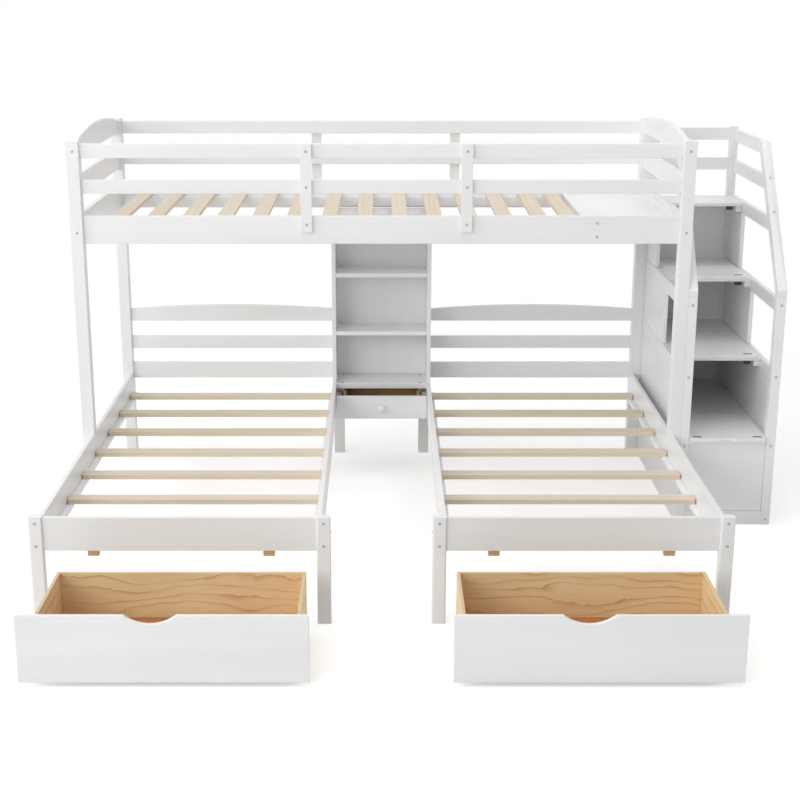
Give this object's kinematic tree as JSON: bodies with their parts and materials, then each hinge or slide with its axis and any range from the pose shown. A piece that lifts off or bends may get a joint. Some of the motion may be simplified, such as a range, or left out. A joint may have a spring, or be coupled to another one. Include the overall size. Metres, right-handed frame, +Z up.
{
  "type": "triple bunk bed",
  "caption": "Triple bunk bed: two low beds side by side, an upper bunk across both, stairs with door cubbies, bookcase, nightstand and under-bed drawers.",
  "frame": {"origin": "on the floor, under the middle of the whole bed with its drawers out", "axes": "+X along the upper bunk towards the stairs, +Y from the foot of the low beds to their headboards, +Z up"},
  "size_m": [2.9, 2.509, 1.6499],
  "materials": {
    "white_paint": "white satin paint on solid wood",
    "slat_pine": "bare light pine",
    "drawer_plywood": "clear plywood with a wavy grain",
    "brown_plywood": "brown plywood",
    "steel": "dull zinc",
    "wheel_plastic": "matt black"
  },
  "bodies": {
    "frame": {"left_outer_front_post": "white_paint", "left_inner_front_post": "white_paint", "right_inner_front_post": "white_paint", "right_outer_front_post": "white_paint", "left_foot_rail": "white_paint", "right_foot_rail": "white_paint", "left_outer_rail": "white_paint", "left_inner_rail": "white_paint", "right_inner_rail": "white_paint", "right_outer_rail": "white_paint", "left_slats": "slat_pine", "right_slats": "slat_pine", "left_headboard": "white_paint", "right_headboard": "white_paint", "left_inner_back_post": "white_paint", "right_inner_back_post": "white_paint", "stop_blocks": "slat_pine", "left_front_bunk_post": "white_paint", "right_front_bunk_post": "white_paint", "left_back_bunk_post": "white_paint", "right_back_bunk_post": "white_paint", "front_bunk_rail": "white_paint", "back_bunk_rail": "white_paint", "front_guard_rails": "white_paint", "back_guard_rails": "white_paint", "front_uprights": "white_paint", "back_uprights": "white_paint", "left_end_boards": "white_paint", "right_end_boards": "white_paint", "bunk_slats": "slat_pine", "entry_platform": "white_paint", "bookcase_sides": "white_paint", "bookcase_shelves": "white_paint", "bookcase_back": "white_paint", "nightstand_top": "white_paint", "left_newel": "white_paint", "right_newel": "white_paint", "left_stair_side": "white_paint", "right_stair_side": "white_paint", "treads": "white_paint", "stair_front_panel": "white_paint", "stair_back_panel": "white_paint", "stair_back_guards": "white_paint", "door_hardware": "steel", "bolts": "steel"},
    "left_drawer": {"left_drawer_front": "white_paint", "left_drawer_box": "drawer_plywood"},
    "right_drawer": {"right_drawer_front": "white_paint", "right_drawer_box": "drawer_plywood"},
    "left_front_wheels": {"left_front_wheels": "wheel_plastic"},
    "left_rear_wheels": {"left_rear_wheels": "wheel_plastic"},
    "right_front_wheels": {"right_front_wheels": "wheel_plastic"},
    "right_rear_wheels": {"right_rear_wheels": "wheel_plastic"},
    "nightstand_drawer": {"nightstand_drawer_front": "white_paint", "nightstand_drawer_box": "brown_plywood", "nightstand_knob": "white_paint"},
    "lower_door": {"lower_door": "white_paint"},
    "middle_door": {"middle_door": "white_paint"},
    "upper_door": {"upper_door": "white_paint"}
  },
  "joints": [
    {"name": "left_drawer_slide", "type": "slide", "parent": "frame", "child": "left_drawer", "axis": [0, 1, 0], "range_m": [0, 0.5]},
    {"name": "left_front_wheel_spin", "type": "hinge", "parent": "left_drawer", "child": "left_front_wheels", "pos_m": [-0.896, -1.1945, 0.022], "axis": [-1, 0, 0], "range_deg": [0, 1310]},
    {"name": "left_rear_wheel_spin", "type": "hinge", "parent": "left_drawer", "child": "left_rear_wheels", "pos_m": [-0.896, -0.9145, 0.022], "axis": [-1, 0, 0], "range_deg": [0, 1310]},
    {"name": "right_drawer_slide", "type": "slide", "parent": "frame", "child": "right_drawer", "axis": [0, 1, 0], "range_m": [0, 0.5]},
    {"name": "right_front_wheel_spin", "type": "hinge", "parent": "right_drawer", "child": "right_front_wheels", "pos_m": [0.496, -1.1945, 0.022], "axis": [-1, 0, 0], "range_deg": [0, 1310]},
    {"name": "right_rear_wheel_spin", "type": "hinge", "parent": "right_drawer", "child": "right_rear_wheels", "pos_m": [0.496, -0.9145, 0.022], "axis": [-1, 0, 0], "range_deg": [0, 1310]},
    {"name": "nightstand_drawer_slide", "type": "slide", "parent": "frame", "child": "nightstand_drawer", "axis": [0, 1, 0], "range_m": [0, 0.13]},
    {"name": "lower_door_hinge", "type": "hinge", "parent": "frame", "child": "lower_door", "pos_m": [1.25, 0.4725, 0.3775], "axis": [-1, 0, 0], "range_deg": [0, 90]},
    {"name": "middle_door_hinge", "type": "hinge", "parent": "frame", "child": "middle_door", "pos_m": [1.25, 0.7225, 0.673], "axis": [-1, 0, 0], "range_deg": [0, 90]},
    {"name": "upper_door_hinge", "type": "hinge", "parent": "frame", "child": "upper_door", "pos_m": [1.25, 0.9725, 0.9685], "axis": [-1, 0, 0], "range_deg": [0, 90]}
  ],
  "couplings": [
    {"joint": "left_front_wheel_spin", "follows": "left_drawer_slide", "rad_per_m": 45.455},
    {"joint": "left_rear_wheel_spin", "follows": "left_drawer_slide", "rad_per_m": 45.455},
    {"joint": "right_front_wheel_spin", "follows": "right_drawer_slide", "rad_per_m": 45.455},
    {"joint": "right_rear_wheel_spin", "follows": "right_drawer_slide", "rad_per_m": 45.455}
  ]
}
